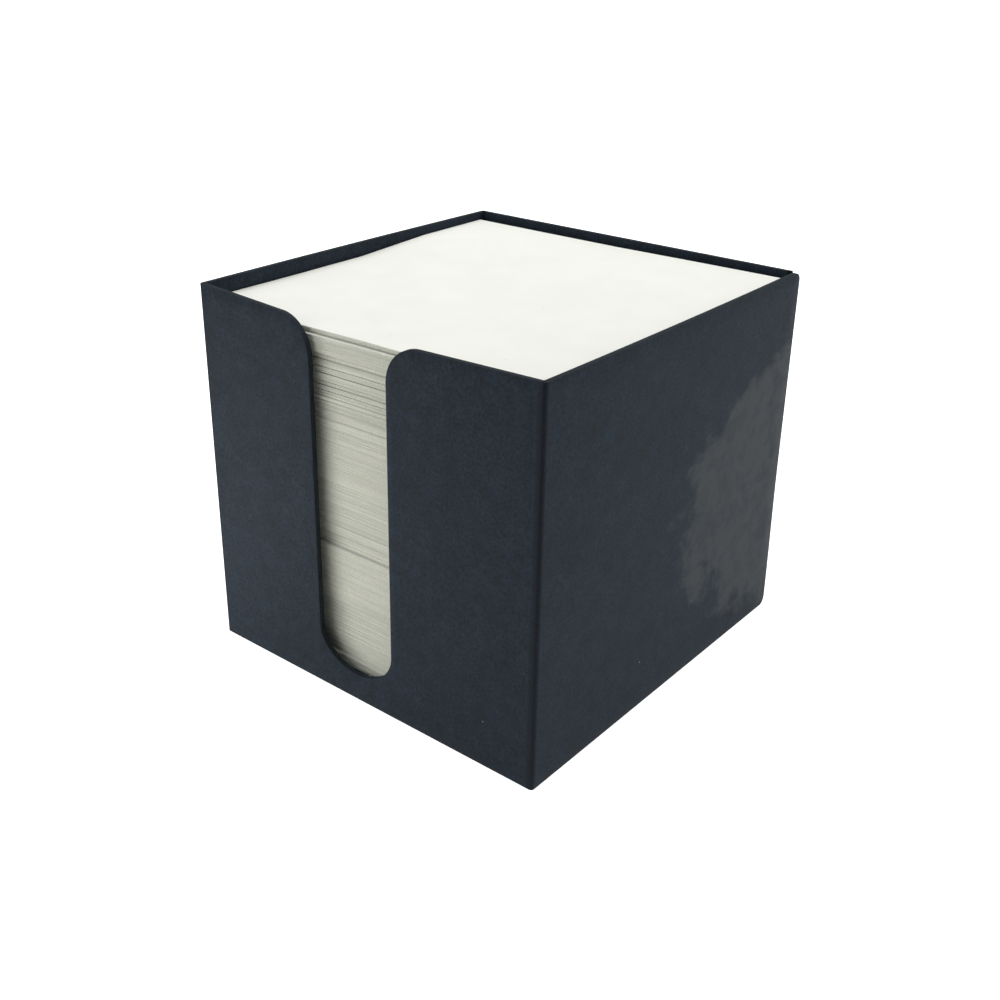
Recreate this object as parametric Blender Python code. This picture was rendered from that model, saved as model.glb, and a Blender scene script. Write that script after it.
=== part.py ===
"""Memo cube holder: an open box folded from dyed board, with a finger slot, full of loose memo sheets."""

import math

import bmesh
import bpy
from mathutils import Vector

# All lengths are in metres. X runs across the front, Y from front to back, Z up from the table
# Board and how it folds, with the air left between pieces that touch or rest on each other
board = 0.0012
fold_outside = 0.0008
fold_facets = 6
seat_gap = 0.0003

# Loose sheets, filling the box to the head room under its rim
# The shares are the sheets of each wad from the base up, as the gaps in the finger slot show them
sheet_side = 0.090
wad_shares = (
    52, 53, 76, 79, 53, 28, 19, 86, 66, 33, 47, 18,
    16, 6, 10, 8, 6, 14, 10, 14, 11, 34, 9,
)
wad_gap = 0.00032
back_rise = 0.0020
front_drift_share = 0.7
front_waves = 3

# The box, with the room that it leaves round the stack
side_room = 0.00055
front_room = 0.0013
head_room = 0.00416
box_height = 0.0875
box_width = sheet_side + 2 * side_room + 3 * board + seat_gap
box_depth = sheet_side + 2 * front_room + 4 * board + 2 * seat_gap

# Finger slot in the front wall, whose rim falls a little from both folds towards the slot
slot_width = 0.0221
slot_middle_x = -0.00245
slot_lowest_z = 0.0065
slot_end_height = 0.0088
slot_shoulder = 0.0085
rim_fall = 0.00105
slot_facets = 24
shoulder_facets = 10

# Glue flap inside the right wall, and the free edge that covers it
flap_length = 0.015
flap_taper = 0.004
free_corner = 0.002
free_corner_facets = 8

# Base, with one flap turned up at the front and one at the back
flap_below_slot = 0.001
front_flap_height = slot_lowest_z - flap_below_slot
back_flap_height = 0.016
base_corner = 0.004

# How far a cutter reaches past what it cuts
overcut = 0.001


def arc(centre_a, centre_b, radius, start, end, facets):
    """Points on an arc in any plane, from start to end, in radians."""
    angles = [start + (end - start) * step / facets for step in range(facets + 1)]
    return [(centre_a + radius * math.cos(a), centre_b + radius * math.sin(a)) for a in angles]


def add_object(name, bm, material=None):
    """Turn the mesh into a named object with outward faces."""
    bmesh.ops.recalc_face_normals(bm, faces=bm.faces)
    mesh = bpy.data.meshes.new(name)
    bm.to_mesh(mesh)
    bm.free()
    if material:
        mesh.materials.append(material)
    made = bpy.data.objects.new(name, mesh)
    bpy.context.collection.objects.link(made)
    return made


def prism(name, outline, across, material=None):
    """Extrude a closed outline of 3D points along the vector across."""
    bm = bmesh.new()
    face = bm.faces.new([bm.verts.new(point) for point in outline])
    moved = bmesh.ops.extrude_face_region(bm, geom=[face])
    verts = [item for item in moved["geom"] if isinstance(item, bmesh.types.BMVert)]
    bmesh.ops.translate(bm, verts=verts, vec=across)
    return add_object(name, bm, material)


def board_material():
    """Solid board dyed through, matt, nearly black with a blue cast."""
    made = bpy.data.materials.new("dyed_board")
    made.use_nodes = True
    shader = made.node_tree.nodes["Principled BSDF"]
    shader.inputs["Base Color"].default_value = (0.024, 0.033, 0.042, 1)
    shader.inputs["Roughness"].default_value = 0.85
    shader.inputs["Metallic"].default_value = 0
    return made


def paper_material():
    """Uncoated white memo paper."""
    made = bpy.data.materials.new("memo_paper")
    made.use_nodes = True
    shader = made.node_tree.nodes["Principled BSDF"]
    shader.inputs["Base Color"].default_value = (0.88, 0.89, 0.84, 1)
    shader.inputs["Roughness"].default_value = 0.9
    shader.inputs["Metallic"].default_value = 0
    return made


def folded_strip(corners, last_point):
    """Offset the path of a folded strip into a closed outline, round outside and creased inside."""
    past = board - fold_outside
    outer, inner = [], []
    for centre_x, centre_y, start, end in corners:
        outer += arc(centre_x, centre_y, fold_outside, start, end, fold_facets)
        crease_x = centre_x - past * (math.cos(start) + math.cos(end))
        crease_y = centre_y - past * (math.sin(start) + math.sin(end))
        inner.append((crease_x, crease_y))
    first_outer, first_inner, end_outer, end_inner = last_point
    return [first_outer] + outer + [end_outer, end_inner] + inner[::-1] + [first_inner]


def wrap_plan():
    """The four walls seen from above, from the free edge clockwise round to the glue flap."""
    right, back = box_width / 2, box_depth / 2
    near_x, near_y = right - fold_outside, back - fold_outside
    nested_right = right - board - seat_gap
    quarter = math.pi / 2
    folds = (
        (near_x, -near_y, 0, -quarter),
        (-near_x, -near_y, -quarter, -2 * quarter),
        (-near_x, near_y, 2 * quarter, quarter),
        (nested_right - fold_outside, near_y, quarter, 0),
    )
    flap_end = back - fold_outside - flap_length
    ends = (
        (right, back),
        (right - board, back),
        (nested_right, flap_end),
        (nested_right - board, flap_end),
    )
    return folded_strip(folds, ends)


def slot_cutter():
    """The finger slot: half an ellipse below, straight sides, rounded shoulders and the falling rim."""
    half = slot_width / 2
    end_z = slot_lowest_z + slot_end_height
    shoulder_z = box_height - rim_fall - slot_shoulder
    quarter = math.pi / 2
    left, right = slot_middle_x - half, slot_middle_x + half
    flattened = slot_end_height / half
    half_round = arc(slot_middle_x, 0, half, -2 * quarter, 0, slot_facets)
    profile = [(x, end_z + flattened * z) for x, z in half_round]
    shoulder_x = right + slot_shoulder
    profile += arc(shoulder_x, shoulder_z, slot_shoulder, 2 * quarter, quarter, shoulder_facets)
    fold_x = box_width / 2 - fold_outside
    past_z = box_height + overcut
    profile += [(fold_x, box_height), (fold_x, past_z), (-fold_x, past_z), (-fold_x, box_height)]
    profile += arc(left - slot_shoulder, shoulder_z, slot_shoulder, quarter, 0, shoulder_facets)
    front = -box_depth / 2 - overcut
    reach = 2 * overcut + board
    return prism("slot_cutter", [(x, front, z) for x, z in profile], Vector((0, reach, 0)))


def free_corner_cutter(name, corner_z, upward):
    """What is cut away to round one corner of the right wall's free edge."""
    edge_y = box_depth / 2
    centre_y, centre_z = edge_y - free_corner, corner_z - upward * free_corner
    start, end = (0, upward * math.pi / 2)
    profile = arc(centre_y, centre_z, free_corner, start, end, free_corner_facets)
    past_y, past_z = edge_y + overcut, corner_z + upward * overcut
    profile += [(centre_y, past_z), (past_y, past_z), (past_y, centre_z)]
    inside_x = box_width / 2 - board - seat_gap / 2
    return prism(name, [(inside_x, y, z) for y, z in profile], Vector((board + overcut, 0, 0)))


def flap_taper_cutter(name, corner_z, upward):
    """What is cut away to taper one end of the glue flap."""
    root_y = box_depth / 2 - fold_outside
    end_y = root_y - flap_length - overcut
    slope = flap_taper / flap_length
    start_z = corner_z - upward * (board + seat_gap)
    end_z = start_z - upward * slope * (root_y - end_y)
    past_z = corner_z + upward * overcut
    profile = ((root_y, start_z), (end_y, end_z), (end_y, past_z), (root_y, past_z))
    outside_x = box_width / 2 - board - seat_gap / 2
    across = Vector((-board - seat_gap - overcut, 0, 0))
    return prism(name, [(outside_x, y, z) for y, z in profile], across)


def cut(target, cutter):
    """Take the cutter away from the target and keep the cutter as a guide."""
    modifier = target.modifiers.new(cutter.name, "BOOLEAN")
    modifier.operation = "DIFFERENCE"
    modifier.solver = "EXACT"
    modifier.object = cutter
    cutter.hide_render = True
    cutter.display_type = "WIRE"


def build_wall_wrap(material):
    """One strip of board folded round all four sides and closed by a glue flap."""
    plan = [(x, y, 0) for x, y in wrap_plan()]
    wrap = prism("wall_wrap", plan, Vector((0, 0, box_height)), material)
    cut(wrap, slot_cutter())
    for end, height, upward in (("top", box_height, 1), ("bottom", 0, -1)):
        cut(wrap, free_corner_cutter("free_corner_" + end, height, upward))
        cut(wrap, flap_taper_cutter("flap_taper_" + end, height, upward))


def build_base_tray(material):
    """The bottom card with its front and back flaps turned up, and its four corners cut off."""
    half_y = box_depth / 2 - board - seat_gap
    half_x = box_width / 2 - board - seat_gap
    fold_y = half_y - fold_outside
    quarter = math.pi / 2
    folds = (
        (-fold_y, fold_outside, -2 * quarter, -quarter),
        (fold_y, fold_outside, -quarter, 0),
    )
    ends = (
        (-half_y, front_flap_height),
        (-half_y + board, front_flap_height),
        (half_y, back_flap_height),
        (half_y - board, back_flap_height),
    )
    profile = folded_strip(folds, ends)
    outline = [(-half_x, y, z) for y, z in profile]
    tray = prism("base_tray", outline, Vector((2 * half_x, 0, 0)), material)
    tall = max(front_flap_height, back_flap_height) + overcut
    for side_x in (-1, 1):
        for side_y in (-1, 1):
            corner = (side_x * half_x, side_y * half_y)
            along_x = (corner[0] - side_x * base_corner, corner[1] + side_y * overcut)
            past = (corner[0] + side_x * overcut, corner[1] + side_y * overcut)
            along_y = (corner[0] + side_x * overcut, corner[1] - side_y * base_corner)
            name = "base_corner_" + ("left_" if side_x < 0 else "right_") + ("front" if side_y < 0 else "back")
            triangle = [(x, y, -overcut) for x, y in (along_x, past, along_y)]
            cut(tray, prism(name, triangle, Vector((0, 0, tall + overcut))))


def front_drift(share):
    """How far the stack stands off the middle of the box at a share of its height."""
    return front_room * front_drift_share * math.sin(front_waves * share)


def build_wads(material):
    """The loose sheets in wads, each leaning a little more than the one below it."""
    half = sheet_side / 2
    middle_x = -(board + seat_gap) / 2
    low_z = board + seat_gap
    paper = box_height - head_room - low_z - wad_gap * (len(wad_shares) - 1)
    below_share = 0
    for number, sheets in enumerate(wad_shares, 1):
        above_share = below_share + sheets / sum(wad_shares)
        low_y, high_y = front_drift(below_share), front_drift(above_share)
        thick = paper * sheets / sum(wad_shares)
        lean = back_rise * below_share
        outline = [(-half, -half, 0), (-half, half, lean), (half, half, lean), (half, -half, 0)]
        wad = prism(f"memo_wad_{number:02d}", outline, Vector((0, high_y - low_y, thick)), material)
        wad.location = (middle_x, low_y, low_z)
        low_z += thick + wad_gap
        below_share = above_share


def build():
    for old in list(bpy.data.objects):
        bpy.data.objects.remove(old)
    dyed_board = board_material()
    build_wall_wrap(dyed_board)
    build_base_tray(dyed_board)
    build_wads(paper_material())


build()
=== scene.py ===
"""Looks for the memo cube holder: a box folded from dyed board, full of loose white memo sheets."""

import math

import bmesh
import bpy
from mathutils import Matrix, Vector


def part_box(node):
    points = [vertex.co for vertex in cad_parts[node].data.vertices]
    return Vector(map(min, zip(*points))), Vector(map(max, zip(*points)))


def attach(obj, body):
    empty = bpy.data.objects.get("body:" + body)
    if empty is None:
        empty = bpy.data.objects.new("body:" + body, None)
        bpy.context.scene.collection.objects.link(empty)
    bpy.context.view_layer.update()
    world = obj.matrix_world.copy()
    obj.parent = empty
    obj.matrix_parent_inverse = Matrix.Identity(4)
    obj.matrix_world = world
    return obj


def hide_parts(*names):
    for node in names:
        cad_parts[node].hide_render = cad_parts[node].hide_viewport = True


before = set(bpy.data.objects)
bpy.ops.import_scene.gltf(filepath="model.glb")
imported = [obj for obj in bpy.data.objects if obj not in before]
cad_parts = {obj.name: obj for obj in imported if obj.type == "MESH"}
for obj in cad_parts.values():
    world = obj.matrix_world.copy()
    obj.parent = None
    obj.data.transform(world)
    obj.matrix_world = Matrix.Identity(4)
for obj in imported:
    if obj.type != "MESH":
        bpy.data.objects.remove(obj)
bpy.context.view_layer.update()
MM = 0.001

# ---------------------------------------------------------------------------------------------
# Wall wrap. One strip of solid board, 1.2 mm thick, die cut and creased.
# It is folded round all four sides and closed by a glue flap inside the right wall.
# The right wall's rear edge is left free, with rounded corners, and lies over the back fold.
# ---------------------------------------------------------------------------------------------
wall_low, wall_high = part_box("wall_wrap")
WALL_HALF_X = wall_high.x
WALL_HALF_Y = wall_high.y
WALL_HEIGHT = wall_high.z

# The board, its folds, and the painted shade along its creases, which reaches further beyond a fold than
# before it
BOARD = 1.2 * MM
FOLD_OUTSIDE = 0.8 * MM
GLUE_LINE = 0.3 * MM
FOLD_STEPS = 8
FREE_CORNER_STEPS = 8
SHOULDER_STEPS = 14
SLOT_END_STEPS = 36
FOLD_SHADE_REACH = 1.2 * MM
FOLD_SHADE_SKEW = 4.0
CUT_EDGE_SOFTENING = 0.08 * MM
CUT_EDGE_ANGLE = math.radians(50)
SMOOTH_ANGLE = math.radians(35)

# The finger slot, whose rim falls from both folds towards it
SLOT_WIDTH = 22.0 * MM
SLOT_MIDDLE_X = -2.55 * MM
SLOT_LOWEST_Z = 6.5 * MM
SLOT_END_HEIGHT = 8.8 * MM
SLOT_SHOULDER = 8.5 * MM
RIM_FALL = 1.05 * MM
# How far the rim stands in: at the side walls' ends, along the front and back, and beside the slot
SIDE_LEAN = 0.45 * MM
CROSS_LEAN = 1.12 * MM
TONGUE_LEAN = 0.2 * MM
# The right wall's free edge stands in too, and the height at which it has all of it
FREE_EDGE_DRAW = 0.9 * MM
FREE_EDGE_DRAW_HEIGHT = 42.0 * MM
# The free edge's rounded corners and the glue flap
FREE_CORNER = 2.0 * MM
FLAP_LENGTH = 15.0 * MM
FLAP_TAPER = 4.0 * MM
PANEL_GRID = 4.0 * MM
SAME_POINT = 0.001 * MM
ON_CUT_LINE = 0.0001 * MM
ROUNDING = 1e-9
# Real sizes of the finish: the pale patch, partly real scuffing and partly painted sheen, with its ragged
# edge, fibres, dye clouds and lint
SCUFF_SHEEN_MIDDLE_Y, SCUFF_SHEEN_MIDDLE_Z = 49.0 * MM, 43.0 * MM
SCUFF_SHEEN_HALF_DEPTH, SCUFF_SHEEN_RISE, SCUFF_SHEEN_DROP = 46.0 * MM, 27.0 * MM, 43.0 * MM
SCUFF_SHEEN_RAGGED, SCUFF_SHEEN_PATCH = 11.0 * MM, 4.5 * MM
FIBRE_SPECK, FIBRE_RELIEF = 0.65 * MM, 0.04 * MM
DYE_CLOUD, DYE_MOTTLE = 14.0 * MM, 3.5 * MM
LINT_SPACING, LINT_SHARE = 21.0 * MM, 0.011


def arc_points(centre, radii, start, end, steps):
    """Points on an elliptical arc, angles in degrees, in the order given."""
    angles = [math.radians(start + (end - start) * k / steps) for k in range(steps + 1)]
    return [(centre[0] + radii[0] * math.cos(a), centre[1] + radii[1] * math.sin(a)) for a in angles]


def fold_stations(first_point, heading, lengths, turns):
    """Where each flat panel and each fold of a strip starts, measured along its outer face.

    Every station holds its start, its length, the point there, the heading, and the turn of a fold
    in radians, which is zero for a flat panel."""
    stations = []
    along, point, angle = 0.0, Vector(first_point), heading
    for index, length in enumerate(lengths):
        stations.append((along, length, point.copy(), angle, 0.0))
        point += Vector((math.cos(angle), math.sin(angle))) * length
        along += length
        if index < len(turns):
            turn = turns[index]
            span = FOLD_OUTSIDE * abs(turn)
            stations.append((along, span, point.copy(), angle, turn))
            side = math.copysign(math.pi / 2, turn)
            inward = Vector((math.cos(angle + side), math.sin(angle + side)))
            centre = point + inward * FOLD_OUTSIDE
            angle += turn
            outward = Vector((math.cos(angle - side), math.sin(angle - side)))
            point = centre + outward * FOLD_OUTSIDE
            along += span
    return stations


def on_strip(stations, inner_side, along, depth):
    """The point of a folded strip at a distance along its outer face and a depth into the board.

    The inner side is 1 where it lies on the left of the way along the strip, and -1 on the right."""
    start, length, point, angle, turn = stations[0]
    for station in stations:
        if along >= station[0] - ROUNDING:
            start, length, point, angle, turn = station
    run = along - start
    side = inner_side * math.pi / 2
    inward = Vector((math.cos(angle + side), math.sin(angle + side)))
    if not turn:
        return point + Vector((math.cos(angle), math.sin(angle))) * run + inward * depth
    centre = point + inward * FOLD_OUTSIDE
    if depth > FOLD_OUTSIDE:
        return centre + (inward + Matrix.Rotation(turn, 2) @ inward) * (depth - FOLD_OUTSIDE)
    swept = turn * run / length
    return centre - Matrix.Rotation(swept, 2) @ inward * (FOLD_OUTSIDE - depth)


def cut_blank(outline, columns, rows):
    """A flat blank with this outline, cut by lines across and along it so that it can be folded."""
    blank = bmesh.new()
    blank.faces.new([blank.verts.new((u, v, 0.0)) for u, v in outline])
    cuts = [((u, 0, 0), (1, 0, 0)) for u in columns] + [((0, v, 0), (0, 1, 0)) for v in rows]
    for point, across in cuts:
        everything = blank.verts[:] + blank.edges[:] + blank.faces[:]
        bmesh.ops.bisect_plane(blank, geom=everything, plane_co=point, plane_no=across, dist=ON_CUT_LINE)
    return blank


def fold_shade_share(stations, along):
    """One where shade is painted along a fold, falling to zero beside it.

    The painted shade reaches further on the far side of each fold, counted from the strip's free edge."""
    folds = [(start, start + length) for start, length, _, _, turn in stations if turn]
    nearest = min(max(FOLD_SHADE_SKEW * (start - along), along - end, 0.0) for start, end in folds)
    return max(0.0, 1.0 - nearest / FOLD_SHADE_REACH)


def fold_blank(name, blank, stations, place):
    """Give the flat blank its thickness and fold it: place turns (along, up, depth) into a point.

    The face attribute cut_edge and the vertex attribute along the folds tell the material where it paints
    shade."""
    folded = bmesh.new()
    cut_mark = folded.faces.layers.float.new("cut_edge")
    fold_shade_mark = folded.verts.layers.float.new("fold_shade")
    outer, inner = {}, {}
    for vert in blank.verts:
        outer[vert] = folded.verts.new(place(vert.co.x, vert.co.y, 0.0))
        inner[vert] = folded.verts.new(place(vert.co.x, vert.co.y, BOARD))
        outer[vert][fold_shade_mark] = fold_shade_share(stations, vert.co.x)
    for face in blank.faces:
        folded.faces.new([outer[v] for v in face.verts])
        folded.faces.new([inner[v] for v in reversed(face.verts)])
    for edge in blank.edges:
        if edge.is_boundary:
            a, b = edge.link_loops[0].vert, edge.link_loops[0].link_loop_next.vert
            side = folded.faces.new((outer[b], outer[a], inner[a], inner[b]))
            side[cut_mark] = 1.0
    blank.free()
    bmesh.ops.remove_doubles(folded, verts=folded.verts, dist=SAME_POINT)
    bmesh.ops.triangulate(folded, faces=[f for f in folded.faces if len(f.verts) > 4])
    bmesh.ops.recalc_face_normals(folded, faces=folded.faces)
    mesh = bpy.data.meshes.new(name)
    folded.to_mesh(mesh)
    folded.free()
    made = bpy.data.objects.new(name, mesh)
    bpy.context.scene.collection.objects.link(made)
    return made


def soften_cut_edges(piece, low, high):
    """Round the die-cut edges a little, as the rule leaves them, and shade the folds smooth.

    Where the rounding would leave the piece's box, it is held at the box's faces."""
    bevel = piece.modifiers.new("cut_edge", "BEVEL")
    bevel.width = CUT_EDGE_SOFTENING
    bevel.segments = 2
    bevel.limit_method = "ANGLE"
    bevel.angle_limit = CUT_EDGE_ANGLE
    evaluated = piece.evaluated_get(bpy.context.evaluated_depsgraph_get())
    mesh = bpy.data.meshes.new_from_object(evaluated)
    piece.modifiers.clear()
    piece.data = mesh
    for vert in mesh.vertices:
        vert.co = [min(max(value, least), most) for value, least, most in zip(vert.co, low, high)]
    mesh.shade_smooth()
    mesh.set_sharp_from_angle(angle=SMOOTH_ANGLE)


def linear(hex_colour):
    """An sRGB hex colour as the linear values that a shader takes."""
    channels = [int(hex_colour[i:i + 2], 16) / 255 for i in (1, 3, 5)]
    return [c / 12.92 if c <= 0.04045 else ((c + 0.055) / 1.055) ** 2.4 for c in channels] + [1.0]


def node(tree, kind, links=None, **settings):
    """Add a node. Settings are its properties, or inputs by name.

    Links give its inputs, by name or number, a socket or a plain value."""
    made = tree.nodes.new(kind)
    for key, value in settings.items():
        if hasattr(made, key):
            setattr(made, key, value)
        else:
            made.inputs[key.replace("_", " ")].default_value = value
    for name, value in (links or {}).items():
        if isinstance(value, bpy.types.NodeSocket):
            tree.links.new(value, made.inputs[name])
        else:
            made.inputs[name].default_value = value
    return made


def maths(tree, operation, *values, **settings):
    """The result of one maths node on sockets or plain values."""
    return node(tree, "ShaderNodeMath", dict(enumerate(values)), operation=operation, **settings).outputs[0]


def spread(tree, value, low, high, least, most):
    """Map the stretch from low to high onto the one from least to most."""
    span = {"Value": value, "From Min": low, "From Max": high, "To Min": least, "To Max": most}
    return node(tree, "ShaderNodeMapRange", span).outputs["Result"]


def eased(tree, value, low, high):
    """Zero up to low and one from high on, with a soft step between."""
    span = {"Value": value, "From Min": low, "From Max": high}
    return node(tree, "ShaderNodeMapRange", span, interpolation_type="SMOOTHSTEP").outputs["Result"]


def noise(tree, place, size, detail, rough=0.5):
    """Cloudy noise whose largest clouds have this size."""
    made = node(tree, "ShaderNodeTexNoise", {"Vector": place}, Scale=1 / size, Detail=detail, Roughness=rough)
    return made.outputs["Fac"]


def cell_distance(tree, place, size):
    """How far a point is from the nearest of many scattered spots, in shares of their spacing."""
    return node(tree, "ShaderNodeTexVoronoi", {"Vector": place}, Scale=1 / size).outputs["Distance"]


def ramp(tree, value, *stops):
    """Colours along a value, each stop a position and a hex colour."""
    made = node(tree, "ShaderNodeValToRGB", {"Fac": value})
    elements = made.color_ramp.elements
    while len(elements) < len(stops):
        elements.new(0.5)
    for element, (position, colour) in zip(elements, stops):
        element.position, element.color = position, linear(colour)
    return made.outputs["Color"]


def blend(tree, share, first, second, mode="MIX"):
    """Mix two colours, each a socket or a hex colour."""
    first, second = (linear(c) if isinstance(c, str) else c for c in (first, second))
    made = node(tree, "ShaderNodeMix", {0: share, 6: first, 7: second}, data_type="RGBA", blend_type=mode)
    return made.outputs[2]


def scaled(tree, colour, factor):
    """A colour made lighter or darker by a factor."""
    made = node(tree, "ShaderNodeVectorMath", {0: colour, "Scale": factor}, operation="SCALE")
    return made.outputs["Vector"]


def scuff_and_sheen_share(tree, place):
    """How pale the right wall's outer face is made, partly real scuffing and partly painted sheen: a ragged
    oval at its rear, patchy inside.
    """
    axes = node(tree, "ShaderNodeSeparateXYZ", {"Vector": place}).outputs
    behind = maths(tree, "DIVIDE", maths(tree, "SUBTRACT", axes["Y"], SCUFF_SHEEN_MIDDLE_Y), SCUFF_SHEEN_HALF_DEPTH)
    over = maths(tree, "DIVIDE", maths(tree, "SUBTRACT", axes["Z"], SCUFF_SHEEN_MIDDLE_Z), SCUFF_SHEEN_RISE)
    under = maths(tree, "DIVIDE", maths(tree, "SUBTRACT", SCUFF_SHEEN_MIDDLE_Z, axes["Z"]), SCUFF_SHEEN_DROP)
    off = maths(tree, "MAXIMUM", over, under)
    squares = maths(tree, "ADD", maths(tree, "MULTIPLY", behind, behind), maths(tree, "MULTIPLY", off, off))
    ragged = maths(tree, "MULTIPLY_ADD", noise(tree, place, SCUFF_SHEEN_RAGGED, 5.0, 0.6), -1.0, 0.5)
    off = maths(tree, "ADD", maths(tree, "SQRT", squares), ragged)
    inside = maths(tree, "SUBTRACT", 1.0, eased(tree, off, 0.86, 1.04))
    outer_face = maths(tree, "GREATER_THAN", axes["X"], WALL_HALF_X - BOARD / 2)
    patchy = eased(tree, noise(tree, place, SCUFF_SHEEN_PATCH, 4.0, 0.6), 0.3, 0.62)
    patchy = maths(tree, "MULTIPLY_ADD", patchy, 0.45, 0.55)
    return maths(tree, "MULTIPLY", maths(tree, "MULTIPLY", inside, outer_face), patchy)


def dyed_solid_board():
    """Dyed-through solid board: pulp coloured in the vat and calendered once, with no coating.

    The eye sees a matt blue-black with fibre specks, cloudy dye and a little lint. Painted shade
    darkens the folds and the cut edges, and a pale patch on the rear half of the right wall is partly
    real scuffing and partly painted sheen. The fibres are thinner than a pixel, so their specks are drawn
    coarser."""
    material = bpy.data.materials.new("dyed_solid_board")
    material.use_nodes = True
    tree = material.node_tree
    shader = tree.nodes["Principled BSDF"]
    place = node(tree, "ShaderNodeTexCoord").outputs["Object"]

    fibre = noise(tree, place, FIBRE_SPECK, 3.0, 0.6)
    colour = ramp(tree, noise(tree, place, DYE_CLOUD, 3.0), (0.3, "#192530"), (0.7, "#1E2A36"))
    mottle = ramp(tree, noise(tree, place, DYE_MOTTLE, 2.0), (0.3, "#DADADA"), (0.7, "#FFFFFF"))
    colour = blend(tree, 1.0, colour, mottle, "MULTIPLY")
    colour = scaled(tree, colour, spread(tree, fibre, 0.25, 0.75, 0.4, 1.6))
    # A pale patch on the rear half of the right wall: partly real scuffing, partly painted sheen.
    colour = blend(tree, scuff_and_sheen_share(tree, place), colour, "#41464A")

    lint = maths(tree, "LESS_THAN", cell_distance(tree, place, LINT_SPACING), LINT_SHARE)
    colour = blend(tree, maths(tree, "MULTIPLY", lint, 0.6), colour, "#8C9296")
    # Painted shade along the folds: darkest on each fold, fading further beyond it than before it.
    fold_shade = node(tree, "ShaderNodeAttribute", attribute_name="fold_shade").outputs["Fac"]
    fold_shade_colour = ramp(tree, fold_shade, (0.0, "#FFFFFF"), (0.3, "#D6DADF"), (0.8, "#9AA3AF"))
    colour = blend(tree, 1.0, colour, fold_shade_colour, "MULTIPLY")
    # Painted shade on the cut edges: they are darkened below what the light gives them, the rim's top among
    # them.
    cut = node(tree, "ShaderNodeAttribute", attribute_name="cut_edge").outputs["Fac"]
    colour = blend(tree, maths(tree, "MULTIPLY", cut, 0.7), colour, "#1E262B")
    tree.links.new(colour, shader.inputs["Base Color"])

    shader.inputs["Roughness"].default_value = 0.75
    shader.inputs["Specular IOR Level"].default_value = 0.22
    bump = node(tree, "ShaderNodeBump", {"Height": fibre}, Strength=0.35, Distance=FIBRE_RELIEF)
    tree.links.new(bump.outputs["Normal"], shader.inputs["Normal"])
    return material


def lines_between(low, high, spacing):
    """Evenly spaced places strictly between low and high."""
    count = max(1, round((high - low) / spacing))
    return [low + (high - low) * k / count for k in range(1, count)]


def fold_columns(stations):
    """Every place along a strip where the folded mesh needs a column."""
    columns = []
    for start, length, _, _, turn in stations:
        if turn:
            end = start + length
            columns += [start - FOLD_SHADE_REACH / FOLD_SHADE_SKEW, start, end, end + FOLD_SHADE_REACH]
            columns += lines_between(start, end, length / FOLD_STEPS)
        else:
            columns += lines_between(start, start + length, PANEL_GRID)
    return sorted(columns)


right_panel = 2 * WALL_HALF_Y - FOLD_OUTSIDE
front_panel = 2 * (WALL_HALF_X - FOLD_OUTSIDE)
left_panel = 2 * (WALL_HALF_Y - FOLD_OUTSIDE)
back_panel = 2 * (WALL_HALF_X - FOLD_OUTSIDE) - BOARD - GLUE_LINE
quarter_turn = math.pi / 2
wrap_stations = fold_stations(
    (WALL_HALF_X, WALL_HALF_Y), -quarter_turn,
    (right_panel, front_panel, left_panel, back_panel, FLAP_LENGTH),
    (-quarter_turn,) * 4,
)
strip_end = wrap_stations[-1][0] + FLAP_LENGTH
flap_start = wrap_stations[-1][0]
front_start = wrap_stations[2][0]
front_middle = front_start + front_panel / 2


def wrap_outline():
    """The strip laid flat, outer face up, anticlockwise: finger slot, free corners and tapered flap."""
    slot_middle = front_middle - SLOT_MIDDLE_X
    half = SLOT_WIDTH / 2
    shoulder = (SLOT_SHOULDER, SLOT_SHOULDER)
    shoulder_z = WALL_HEIGHT - RIM_FALL - SLOT_SHOULDER
    end_z = SLOT_LOWEST_Z + SLOT_END_HEIGHT
    corner = (FREE_CORNER, FREE_CORNER)
    flap_low = BOARD + GLUE_LINE
    outline = arc_points((FREE_CORNER, FREE_CORNER), corner, 180, 270, FREE_CORNER_STEPS)
    outline += [(flap_start, 0.0), (flap_start, flap_low), (strip_end, flap_low + FLAP_TAPER)]
    outline += [(strip_end, WALL_HEIGHT - flap_low - FLAP_TAPER), (flap_start, WALL_HEIGHT - flap_low)]
    outline += [(flap_start, WALL_HEIGHT), (front_start + front_panel, WALL_HEIGHT)]
    far_shoulder = (slot_middle + half + SLOT_SHOULDER, shoulder_z)
    near_shoulder = (slot_middle - half - SLOT_SHOULDER, shoulder_z)
    outline += arc_points(far_shoulder, shoulder, 90, 180, SHOULDER_STEPS)
    outline += arc_points((slot_middle, end_z), (half, SLOT_END_HEIGHT), 0, -180, SLOT_END_STEPS)
    outline += arc_points(near_shoulder, shoulder, 0, 90, SHOULDER_STEPS)
    outline += [(front_start, WALL_HEIGHT)]
    outline += arc_points((FREE_CORNER, WALL_HEIGHT - FREE_CORNER), corner, 90, 180, FREE_CORNER_STEPS)
    return outline


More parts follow.
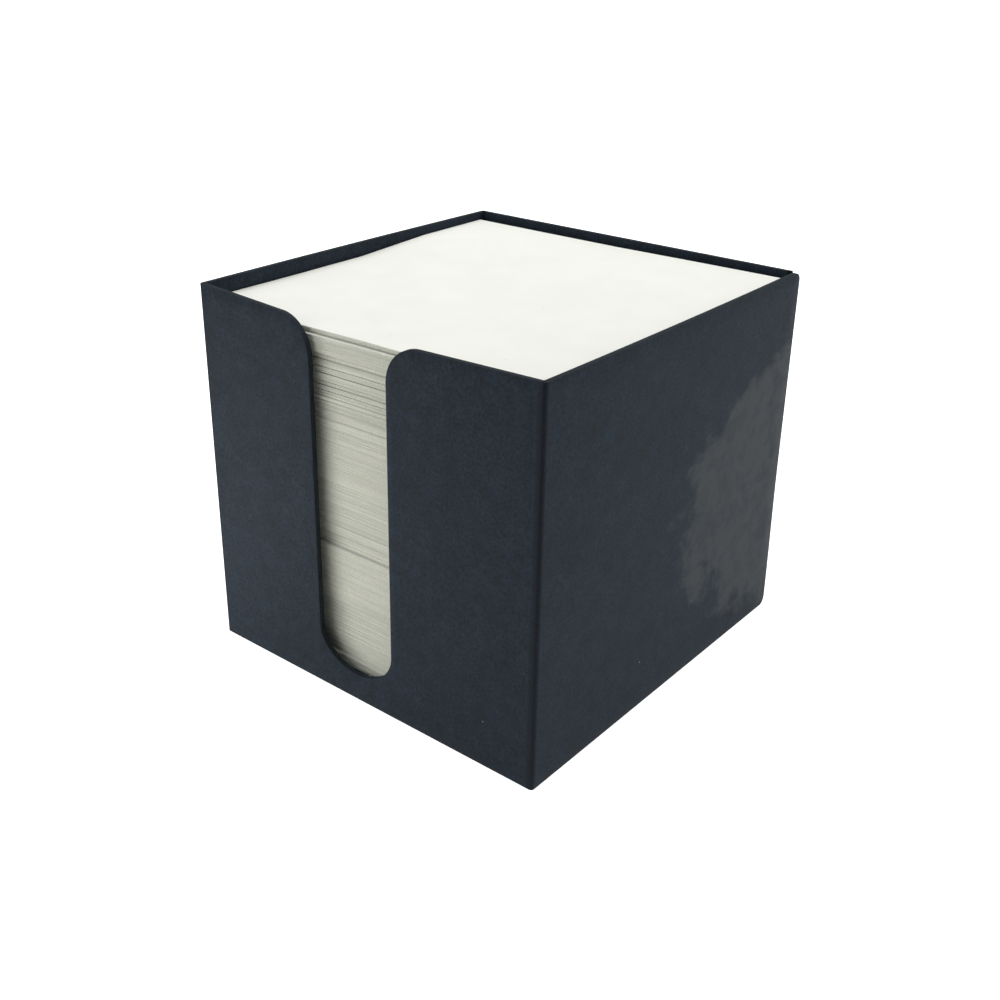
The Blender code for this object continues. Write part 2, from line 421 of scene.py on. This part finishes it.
def place_on_wrap(along, up, depth):
    """Fold the strip, and let the walls stand in a little towards the rim, as nothing holds them there."""
    point = on_strip(wrap_stations, -1, along, depth)
    rise = up / WALL_HEIGHT
    x_share, y_share = point.x / WALL_HALF_X, point.y / WALL_HALF_Y
    x = point.x - SIDE_LEAN * rise * x_share
    y = point.y - CROSS_LEAN * rise * y_share
    if along < right_panel and y_share > 0:
        drawn = min(1.0, up / FREE_EDGE_DRAW_HEIGHT)
        y = point.y - FREE_EDGE_DRAW * drawn**2 * (3 - 2 * drawn) * y_share
    if abs(y_share) < abs(x_share):
        x += math.copysign(SIDE_LEAN * rise * (1 - y_share**2), x_share)
    elif y_share < 0:
        y += TONGUE_LEAN * rise * (1 - x_share**2)
    return (x, y, up)


board_finish = dyed_solid_board()
wrap_rows = lines_between(0.0, WALL_HEIGHT, PANEL_GRID)
wrap_blank = cut_blank(wrap_outline(), fold_columns(wrap_stations), wrap_rows)
wall_wrap = fold_blank("wall_wrap_board", wrap_blank, wrap_stations, place_on_wrap)
soften_cut_edges(wall_wrap, wall_low, wall_high)
wall_wrap.data.materials.append(board_finish)
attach(wall_wrap, "holder")
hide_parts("wall_wrap")

# ---------------------------------------------------------------------------------------------
# Base tray. A card of the same board inside the walls, with its corners cut off.
# A flap is folded up at the front and at the back, and glued to the walls.
# ---------------------------------------------------------------------------------------------
tray_low, tray_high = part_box("base_tray")
TRAY_FRONT_FLAP = 5.5 * MM
TRAY_CORNER = 4.0 * MM
tray_depth = tray_high.y - tray_low.y
tray_width = tray_high.x - tray_low.x
tray_back_flap = tray_high.z
tray_stations = fold_stations(
    (tray_low.y, TRAY_FRONT_FLAP), -quarter_turn,
    (TRAY_FRONT_FLAP - FOLD_OUTSIDE, tray_depth - 2 * FOLD_OUTSIDE, tray_back_flap - FOLD_OUTSIDE),
    (quarter_turn,) * 2,
)
tray_run = tray_stations[-1][0] + tray_stations[-1][1]


def tray_outline():
    """The base card laid flat, underside up, with narrowed flaps."""
    half = tray_width / 2
    narrow = half - TRAY_CORNER
    front_fold = tray_stations[2][0]
    back_fold = tray_stations[3][0]
    outline = [(0.0, -narrow), (front_fold, -narrow), (front_fold + TRAY_CORNER, -half)]
    outline += [(back_fold - TRAY_CORNER, -half), (back_fold, -narrow), (tray_run, -narrow)]
    return outline + [(u, -v) for u, v in reversed(outline)]


def place_on_tray(along, across, depth):
    """Fold the card's flaps up, with the strip's way along running from front to back."""
    point = on_strip(tray_stations, 1, along, depth)
    return (across, point.x, point.y)


tray_rows = lines_between(-tray_width / 2, tray_width / 2, 2 * PANEL_GRID)
tray_blank = cut_blank(tray_outline(), fold_columns(tray_stations), tray_rows)
base_tray = fold_blank("base_tray_board", tray_blank, tray_stations, place_on_tray)
soften_cut_edges(base_tray, tray_low, tray_high)
base_tray.data.materials.append(board_finish)
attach(base_tray, "holder")
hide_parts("base_tray")

# ---------------------------------------------------------------------------------------------
# Memo sheets. About 750 loose sheets of white, uncoated offset paper, 90 x 90 mm, guillotined.
# They lie in wads as they were put in, each with its own edge line, and the stack dips at the front.
# ---------------------------------------------------------------------------------------------
# One sheet, how far the top sheets rise or dip, and how untidily they lie
SHEET = 0.1 * MM
SHEET_SIDE = 90.0 * MM
SHEET_GRID = 5
BACK_RISE = 1.55 * MM
RIGHT_RISE = 0.5 * MM
SIDE_RISE = 0.85 * MM
DIP_MIDDLE_X = -18.0 * MM
DIP_HALF_WIDTH = 26.0 * MM
SCATTER = 0.12 * MM
TURN = math.radians(0.08)
SHEET_TONES = (0.9, 1.0)
# Where each bend starts and ends: the rise towards the back and the right, and the way out of the dip
BACK_BEND = (-7.0 * MM, 30.0 * MM)
RIGHT_BEND = (-10.0 * MM, 45.0 * MM)
DIP_END = (-45.0 * MM, -8.0 * MM)
BEND_GROWTH = 2.0
# Real sizes of the finish: clouds and fuzz in the pulp, specks, and bands of shade along the cut edges
PULP_CLOUD, PULP_FUZZ = 9.0 * MM, 0.5 * MM
SPECK_SPACING, SPECK_SHARE = 8.0 * MM, 0.02
EDGE_BAND, EDGE_BAND_STRETCH = 1.3 * MM, 0.05


def uncoated_offset_paper():
    """Uncoated offset paper, bright white pulp with no gloss.

    The eye sees a soft white with faint clouds and a few grey specks, and rough cut edges, each sheet
    a little different; the edges are painted a shade darker and yellower, as painted shade and painted light
    bounced between the sheets."""
    material = bpy.data.materials.new("uncoated_offset_paper")
    material.use_nodes = True
    tree = material.node_tree
    shader = tree.nodes["Principled BSDF"]
    place = node(tree, "ShaderNodeTexCoord").outputs["Object"]
    face = ramp(tree, noise(tree, place, PULP_CLOUD, 3.0), (0.3, "#F5F6EE"), (0.7, "#F8F9F2"))
    speck = maths(tree, "LESS_THAN", cell_distance(tree, place, SPECK_SPACING), SPECK_SHARE)
    face = blend(tree, speck, face, "#C9CAC4")

    # The cut edges are painted a shade darker and yellower than the faces: painted shade and painted light
    # bounced between the sheets.
    edge = ramp(tree, noise(tree, place, PULP_FUZZ, 2.0), (0.3, "#E2E3D4"), (0.7, "#F0F1E3"))
    stretch = (EDGE_BAND_STRETCH, EDGE_BAND_STRETCH, 1.0)
    layers = node(tree, "ShaderNodeMapping", {"Vector": place}, Scale=stretch).outputs[0]
    banded = spread(tree, noise(tree, layers, EDGE_BAND, 2.0), 0.3, 0.7, 0.9, 1.03)
    shade = node(tree, "ShaderNodeAttribute", attribute_name="sheet_shade").outputs["Fac"]
    edge = scaled(tree, edge, maths(tree, "MULTIPLY", shade, banded))

    normal = node(tree, "ShaderNodeNewGeometry").outputs["True Normal"]
    level = maths(tree, "ABSOLUTE", node(tree, "ShaderNodeSeparateXYZ", {"Vector": normal}).outputs["Z"])
    is_edge = maths(tree, "LESS_THAN", level, 0.5)
    tree.links.new(blend(tree, is_edge, face, edge), shader.inputs["Base Color"])
    shader.inputs["Roughness"].default_value = 0.9
    shader.inputs["Specular IOR Level"].default_value = 0.3
    return material


def sheet_stack_tree(paper):
    """Geometry Nodes that lay a wad: a sheet repeated upwards, each one set down a little off true.

    The upper sheets bend: they rise towards the back, and dip at the front where fingers take them."""
    tree = bpy.data.node_groups.new("memo_sheet_wad", "GeometryNodeTree")
    lengths = (
        "Thickness", "Side", "Middle", "Low", "Front Shift", "Scatter", "Turn", "Stack Height",
        "Back Rise", "Right Rise", "Side Rise", "Dip Middle", "Dip Half Width",
    )
    for name in lengths:
        tree.interface.new_socket(name, in_out="INPUT", socket_type="NodeSocketFloat")
    for name in ("Sheets", "Seed"):
        tree.interface.new_socket(name, in_out="INPUT", socket_type="NodeSocketInt")
    tree.interface.new_socket("Wad", in_out="OUTPUT", socket_type="NodeSocketGeometry")
    given = node(tree, "NodeGroupInput").outputs
    done = node(tree, "NodeGroupOutput")

    size = {"X": given["Side"], "Y": given["Side"], "Z": given["Thickness"]}
    size = node(tree, "ShaderNodeCombineXYZ", size).outputs[0]
    grid = {"Size": size, "Vertices X": SHEET_GRID, "Vertices Y": SHEET_GRID}
    sheet = node(tree, "GeometryNodeMeshCube", grid).outputs["Mesh"]
    level = maths(tree, "ADD", node(tree, "GeometryNodeInputIndex").outputs[0], 0.5)
    height = maths(tree, "MULTIPLY_ADD", level, given["Thickness"], given["Low"])
    jitter = node(tree, "FunctionNodeRandomValue", {"Seed": given["Seed"]}, data_type="FLOAT_VECTOR")
    jitter.inputs["Min"].default_value = (-0.5, -1.0, -1.0)
    jitter.inputs["Max"].default_value = (0.5, 1.0, 1.0)
    drift = node(tree, "ShaderNodeSeparateXYZ", {"Vector": jitter.outputs[0]})
    middle = maths(tree, "MULTIPLY_ADD", drift.outputs["X"], given["Scatter"], given["Middle"])
    forward = maths(tree, "MULTIPLY_ADD", drift.outputs["Y"], given["Scatter"], given["Front Shift"])
    where = node(tree, "ShaderNodeCombineXYZ", {"X": middle, "Y": forward, "Z": height})
    turned = maths(tree, "MULTIPLY", drift.outputs["Z"], given["Turn"])
    turned = node(tree, "ShaderNodeCombineXYZ", {"Z": turned}).outputs[0]
    points = node(tree, "GeometryNodePoints", {"Count": given["Sheets"], "Position": where.outputs[0]})
    tone = node(tree, "FunctionNodeRandomValue", {"Seed": given["Seed"]}, data_type="FLOAT")
    tone.inputs[2].default_value, tone.inputs[3].default_value = SHEET_TONES
    shaded = {"Geometry": points.outputs[0], "Name": "sheet_shade", "Value": tone.outputs[1]}
    shaded = node(tree, "GeometryNodeStoreNamedAttribute", shaded, data_type="FLOAT", domain="POINT")
    laid = {"Points": shaded.outputs[0], "Instance": sheet, "Rotation": turned}
    laid = node(tree, "GeometryNodeInstanceOnPoints", laid)
    real = node(tree, "GeometryNodeRealizeInstances", {"Geometry": laid.outputs[0]})

    place = node(tree, "GeometryNodeInputPosition").outputs[0]
    place = node(tree, "ShaderNodeSeparateXYZ", {"Vector": place}).outputs
    share = maths(tree, "DIVIDE", place["Z"], given["Stack Height"])
    share = maths(tree, "POWER", share, BEND_GROWTH)
    behind = eased(tree, place["Y"], *BACK_BEND)
    rightward = maths(tree, "MULTIPLY", eased(tree, place["X"], *RIGHT_BEND), behind)
    off_dip = maths(tree, "SUBTRACT", place["X"], given["Dip Middle"])
    off_dip = maths(tree, "ABSOLUTE", maths(tree, "DIVIDE", off_dip, given["Dip Half Width"]))
    beside = eased(tree, maths(tree, "MINIMUM", off_dip, 1.0), 0.0, 1.0)
    kept = maths(tree, "MAXIMUM", beside, eased(tree, place["Y"], *DIP_END))
    lift = maths(tree, "MULTIPLY", kept, given["Side Rise"])
    lift = maths(tree, "MULTIPLY_ADD", behind, given["Back Rise"], lift)
    lift = maths(tree, "MULTIPLY_ADD", rightward, given["Right Rise"], lift)
    offset = node(tree, "ShaderNodeCombineXYZ", {"Z": maths(tree, "MULTIPLY", lift, share)})
    bent = node(tree, "GeometryNodeSetPosition", {"Geometry": real.outputs[0], "Offset": offset.outputs[0]})
    finished = node(tree, "GeometryNodeSetMaterial", {"Geometry": bent.outputs[0]}, Material=paper)
    tree.links.new(finished.outputs[0], done.inputs[0])
    return tree


def lay_wad(name, tree, values):
    """Run the tree with these inputs and keep the result as a plain mesh."""
    seed = bpy.data.objects.new(name, bpy.data.meshes.new(name))
    bpy.context.scene.collection.objects.link(seed)
    modifier = seed.modifiers.new("wad", "NODES")
    modifier.node_group = tree
    for item in tree.interface.items_tree:
        if item.in_out == "INPUT":
            modifier[item.identifier] = values[item.name]
    evaluated = seed.evaluated_get(bpy.context.evaluated_depsgraph_get())
    mesh = bpy.data.meshes.new_from_object(evaluated)
    seed.modifiers.clear()
    seed.data = mesh
    return seed


paper_finish = uncoated_offset_paper()
wad_tree = sheet_stack_tree(paper_finish)
wad_names = sorted(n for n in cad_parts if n.startswith("memo_wad_"))
stack_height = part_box(wad_names[-1])[1].z
# How far each wad stands back from the line of the stack, and the gap left over it, in millimetres
WAD_LOOKS = (
    (-0.25, 0.20), (0.1, 0.10), (0.3, 0.28), (-0.15, 0.10), (-0.2, 0.26), (0.5, 0.34),
    (-0.1, 0.10), (0.0, 0.10), (-0.05, 0.05), (0.1, 0.05), (0.15, 0.18), (0.2, 0.22),
    (0.15, 0.22), (0.0, 0.16), (0.25, 0.24), (0.1, 0.22), (0.25, 0.22), (0.0, 0.24),
    (0.15, 0.18), (0.1, 0.24), (0.25, 0.26), (-0.5, 0.30), (0.1, 0.00),
)
for number, wad_node in enumerate(wad_names, 1):
    low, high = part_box(wad_node)
    front = [v.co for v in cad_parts[wad_node].data.vertices if v.co.y < 0]
    paper_height = max(v.z for v in front) - low.z
    sheets = round(paper_height / SHEET)
    stands_back, gap = (length * MM for length in WAD_LOOKS[number - 1])
    if number < len(wad_names):
        paper_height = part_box(wad_names[number])[0].z - low.z - gap
    wad = lay_wad(f"memo_sheets_{number:02d}", wad_tree, {
        "Sheets": sheets, "Thickness": paper_height / sheets, "Side": SHEET_SIDE, "Seed": number,
        "Middle": (low.x + high.x) / 2, "Low": low.z, "Front Shift": stands_back,
        "Scatter": SCATTER, "Turn": TURN, "Stack Height": stack_height,
        "Back Rise": BACK_RISE, "Right Rise": RIGHT_RISE, "Side Rise": SIDE_RISE,
        "Dip Middle": DIP_MIDDLE_X, "Dip Half Width": DIP_HALF_WIDTH,
    })
    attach(wad, wad_node.replace("memo_wad", "wad"))
    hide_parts(wad_node)

# ---------------------------------------------------------------------------------------------
# Studio. A white paper sweep under a broad, soft light, and the camera where the photographer stood.
# ---------------------------------------------------------------------------------------------
FLOOR_SIDE = 12.0


def white_sweep():
    """White background paper: lifted to white for the camera, and it keeps the box's soft shadow."""
    material = bpy.data.materials.new("white_background_paper")
    material.use_nodes = True
    tree = material.node_tree
    tree.nodes.clear()
    paper = node(tree, "ShaderNodeBsdfDiffuse", Color=(0.9, 0.9, 0.9, 1))
    lift = node(tree, "ShaderNodeEmission", Color=(1, 1, 1, 1), Strength=0.8)
    nothing = node(tree, "ShaderNodeEmission", Color=(0, 0, 0, 1), Strength=0.0)
    ray = node(tree, "ShaderNodeLightPath").outputs
    seen = maths(tree, "ADD", ray["Is Camera Ray"], ray["Is Glossy Ray"])
    seen = maths(tree, "ADD", seen, ray["Is Transmission Ray"], use_clamp=True)
    chosen = node(tree, "ShaderNodeMixShader", {0: seen, 1: nothing.outputs[0], 2: lift.outputs[0]})
    both = node(tree, "ShaderNodeAddShader", {0: paper.outputs[0], 1: chosen.outputs[0]})
    output = node(tree, "ShaderNodeOutputMaterial")
    tree.links.new(both.outputs[0], output.inputs["Surface"])
    return material


def flat_square(name, side, material):
    """A flat square sheet, middle at the origin, facing up."""
    half = side / 2
    mesh = bpy.data.meshes.new(name)
    corners = [(-half, -half, 0), (half, -half, 0), (half, half, 0), (-half, half, 0)]
    mesh.from_pydata(corners, [], [(0, 1, 2, 3)])
    mesh.materials.append(material)
    made = bpy.data.objects.new(name, mesh)
    bpy.context.scene.collection.objects.link(made)
    return made


flat_square("sweep", FLOOR_SIDE, white_sweep())

world = bpy.data.worlds.new("studio")
world.use_nodes = True
sky = world.node_tree
sky.nodes.clear()
room_light = node(sky, "ShaderNodeBackground", Color=(1, 1, 1, 1), Strength=0.5)
white_view = node(sky, "ShaderNodeBackground", Color=(1, 1, 1, 1), Strength=1.0)
room_ray = node(sky, "ShaderNodeLightPath").outputs
room_seen = maths(sky, "ADD", room_ray["Is Camera Ray"], room_ray["Is Transmission Ray"], use_clamp=True)
room_parts = {0: room_seen, 1: room_light.outputs[0], 2: white_view.outputs[0]}
room_mix = node(sky, "ShaderNodeMixShader", room_parts)
room_out = node(sky, "ShaderNodeOutputWorld")
sky.links.new(room_mix.outputs[0], room_out.inputs["Surface"])
bpy.context.scene.world = world


def soft_lamp(name, place, target, width, watts):
    """A square soft box that looks at the target."""
    light = bpy.data.lights.new(name, "AREA")
    light.shape = "SQUARE"
    light.size = width
    light.energy = watts
    lamp = bpy.data.objects.new(name, light)
    lamp.location = place
    lamp.rotation_euler = (Vector(target) - Vector(place)).to_track_quat("-Z", "Y").to_euler()
    bpy.context.scene.collection.objects.link(lamp)
    return lamp


box_middle = (0, 0, WALL_HEIGHT / 2)
soft_lamp("overhead_soft_box", (-0.15, 0.12, 0.9), box_middle, 0.9, 4.3)
soft_lamp("right_soft_box", (0.8, 0.45, 0.35), box_middle, 0.6, 1.9)
soft_lamp("left_front_soft_box", (-0.35, -0.85, 0.6), box_middle, 0.5, 1.3)
front_left_foot = (-0.035, -0.049, 0.02)
reflector = soft_lamp("low_reflector", (-0.1, -0.125, 0.012), front_left_foot, 0.05, 0.05)
reflector.visible_camera = False

# The camera that was fitted to the photo: its place, its angles in degrees and its focal length in pixels
CAMERA_PLACE = Vector((163.802, -205.220, 160.405)) * MM
CAMERA_AZIMUTH, CAMERA_ELEVATION, CAMERA_ROLL = 38.801, 25.958, 0.793
FOCAL_PIXELS, PHOTO_PIXELS = 1208.224, 1000
SENSOR_WIDTH = 36.0
camera_data = bpy.data.cameras.new("photographer")
camera_data.sensor_width = SENSOR_WIDTH
camera_data.lens = SENSOR_WIDTH * FOCAL_PIXELS / PHOTO_PIXELS
azimuth, elevation, roll = (math.radians(a) for a in (CAMERA_AZIMUTH, CAMERA_ELEVATION, CAMERA_ROLL))
outward = Vector((math.sin(azimuth), -math.cos(azimuth), 0))
back = outward * math.cos(elevation) + Vector((0, 0, math.sin(elevation)))
level = Vector((0, 0, 1)).cross(back).normalized()
rise = back.cross(level)
right = level * math.cos(roll) + rise * math.sin(roll)
above = -level * math.sin(roll) + rise * math.cos(roll)
camera = bpy.data.objects.new("photographer", camera_data)
turned = Matrix((right, above, back)).transposed().to_4x4()
camera.matrix_world = Matrix.Translation(CAMERA_PLACE) @ turned
camera_data.clip_start, camera_data.clip_end = 0.01, 50.0
bpy.context.scene.collection.objects.link(camera)
bpy.context.scene.camera = camera
bpy.context.scene.view_settings.view_transform = "Standard"

# The photographer in dark clothes stands close behind the lens and keeps some light off the front
SHADE_SIDE = 0.34
SHADE_DISTANCE = 0.02
dark_cloth = bpy.data.materials.new("dark_cloth")
dark_cloth.use_nodes = True
dark_cloth.node_tree.nodes["Principled BSDF"].inputs["Base Color"].default_value = linear("#1C1E20")
dark_cloth.node_tree.nodes["Principled BSDF"].inputs["Roughness"].default_value = 1.0
shade = flat_square("photographer_shade", SHADE_SIDE, dark_cloth)
facing = back.to_track_quat("Z", "Y").to_matrix().to_4x4()
shade.matrix_world = Matrix.Translation(CAMERA_PLACE + back * SHADE_DISTANCE) @ facing
shade.visible_camera = False
